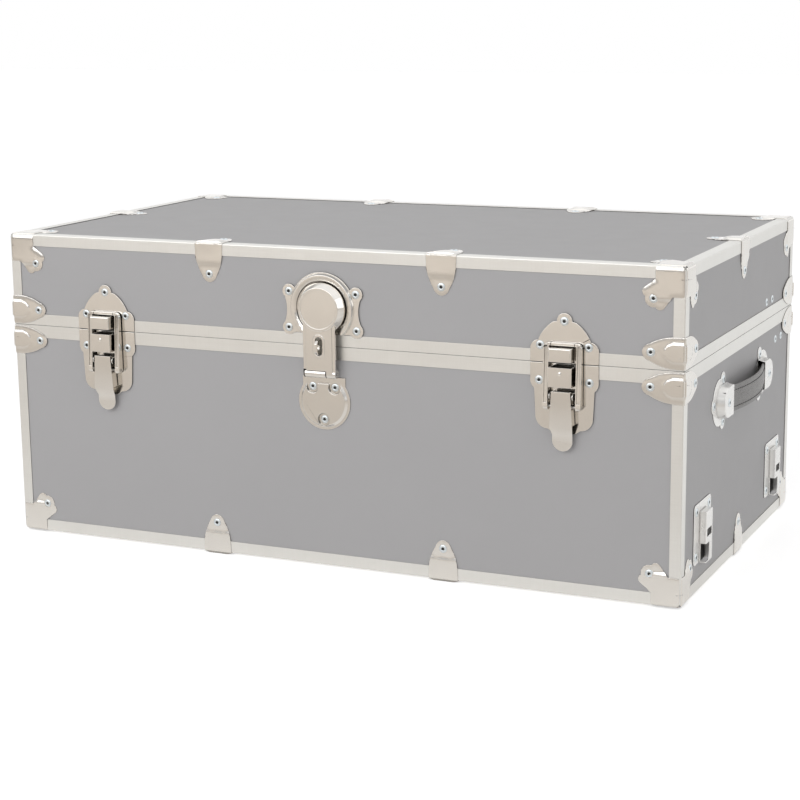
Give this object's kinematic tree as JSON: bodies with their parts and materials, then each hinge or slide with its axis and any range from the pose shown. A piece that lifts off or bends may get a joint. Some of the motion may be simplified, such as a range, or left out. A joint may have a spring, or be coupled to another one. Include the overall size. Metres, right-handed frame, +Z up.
{
  "type": "storage chest",
  "caption": "Camp trunk of panels in metal edging with a tongue and groove lid, draw-bolt latches, a hasp lock, corner caps, edge clamps, leather end handles and wheel bracket plates.",
  "frame": {"origin": "middle of the bounding box's underside, on the floor", "axes": "+X to the end with the wheel plates, +Y to the hinged back, +Z up; the latches face -Y"},
  "size_m": [0.846, 0.483, 0.3604],
  "materials": {
    "panel_skin": "satin",
    "edging": "satin",
    "rail": "satin",
    "trim": "polished",
    "latch": "polished",
    "rivet": "satin",
    "pin": "satin",
    "stay": "satin",
    "strap": "satin"
  },
  "bodies": {
    "base": {"base_front_panel": "panel_skin", "base_back_panel": "panel_skin", "base_left_panel": "panel_skin", "base_right_panel": "panel_skin", "base_floor_panel": "panel_skin", "base_bottom_edging": "edging", "base_upright_edging": "edging", "base_grooved_rail": "rail", "base_corner_caps": "trim", "base_seam_clamps": "trim", "base_edge_clamps": "trim", "base_rivets": "rivet", "latch_plate_left": "latch", "latch_plate_right": "latch", "latch_lever_pin_left": "pin", "latch_lever_pin_right": "pin", "hasp_base_plate": "latch", "hasp_pin": "pin", "padlock_staple": "latch", "handle_caps_left": "trim", "handle_caps_right": "trim", "handle_strap_left": "strap", "handle_strap_right": "strap", "wheel_plates": "trim", "hinge_base_leaves": "trim", "hinge_pins": "pin", "stay_base_bracket": "stay"},
    "lid": {"lid_front_panel": "panel_skin", "lid_back_panel": "panel_skin", "lid_left_panel": "panel_skin", "lid_right_panel": "panel_skin", "lid_top_panel": "panel_skin", "lid_top_edging": "edging", "lid_upright_edging": "edging", "lid_tongued_rail": "rail", "lid_corner_caps": "trim", "lid_seam_clamps": "trim", "lid_edge_clamps": "trim", "lid_rivets": "rivet", "latch_keeper_left": "latch", "latch_keeper_right": "latch", "lock_plate": "latch", "hinge_lid_leaves": "trim", "stay_lid_bracket": "stay"},
    "hasp": {"hasp": "latch"},
    "stay_lower": {"stay_lower_arm": "stay"},
    "stay_upper": {"stay_upper_arm": "stay"},
    "lever_left": {"latch_lever_left": "latch"},
    "bail_left": {"latch_bail_left": "latch", "latch_bail_pin_left": "pin"},
    "lever_right": {"latch_lever_right": "latch"},
    "bail_right": {"latch_bail_right": "latch", "latch_bail_pin_right": "pin"}
  },
  "joints": [
    {"name": "lid_hinge", "type": "hinge", "parent": "base", "child": "lid", "pos_m": [0, 0.23833, 0.2514], "axis": [-1, 0, 0], "range_deg": [0, 100]},
    {"name": "hasp_hinge", "type": "hinge", "parent": "base", "child": "hasp", "pos_m": [0, -0.22903, 0.2219], "axis": [1, 0, 0], "range_deg": [0, 130]},
    {"name": "stay_lower_pivot", "type": "hinge", "parent": "base", "child": "stay_lower", "pos_m": [0.3933, 0.17467, 0.2204], "axis": [-1, 0, 0], "range_deg": [0, 147]},
    {"name": "stay_upper_pivot", "type": "hinge", "parent": "lid", "child": "stay_upper", "pos_m": [0.3909, 0.12718, 0.2714], "axis": [-1, 0, 0], "range_deg": [-87, 0]},
    {"name": "latch_lever_left", "type": "hinge", "parent": "base", "child": "lever_left", "pos_m": [-0.2785, -0.23103, 0.2179], "axis": [-1, 0, 0], "range_deg": [0, 120]},
    {"name": "latch_bail_left", "type": "hinge", "parent": "lever_left", "child": "bail_left", "pos_m": [-0.2785, -0.22833, 0.2068], "axis": [-1, 0, 0], "range_deg": [-170, 0]},
    {"name": "latch_lever_right", "type": "hinge", "parent": "base", "child": "lever_right", "pos_m": [0.2785, -0.23103, 0.2179], "axis": [-1, 0, 0], "range_deg": [0, 120]},
    {"name": "latch_bail_right", "type": "hinge", "parent": "lever_right", "child": "bail_right", "pos_m": [0.2785, -0.22833, 0.2068], "axis": [-1, 0, 0], "range_deg": [-170, 0]}
  ],
  "couplings": [
    {"joint": "stay_lower_pivot", "follows": "lid_hinge", "ratio": 1.4578},
    {"joint": "stay_upper_pivot", "follows": "lid_hinge", "ratio": -0.86165},
    {"joint": "latch_bail_left", "follows": "latch_lever_left", "ratio": -1.4},
    {"joint": "latch_bail_right", "follows": "latch_lever_right", "ratio": -1.4}
  ]
}
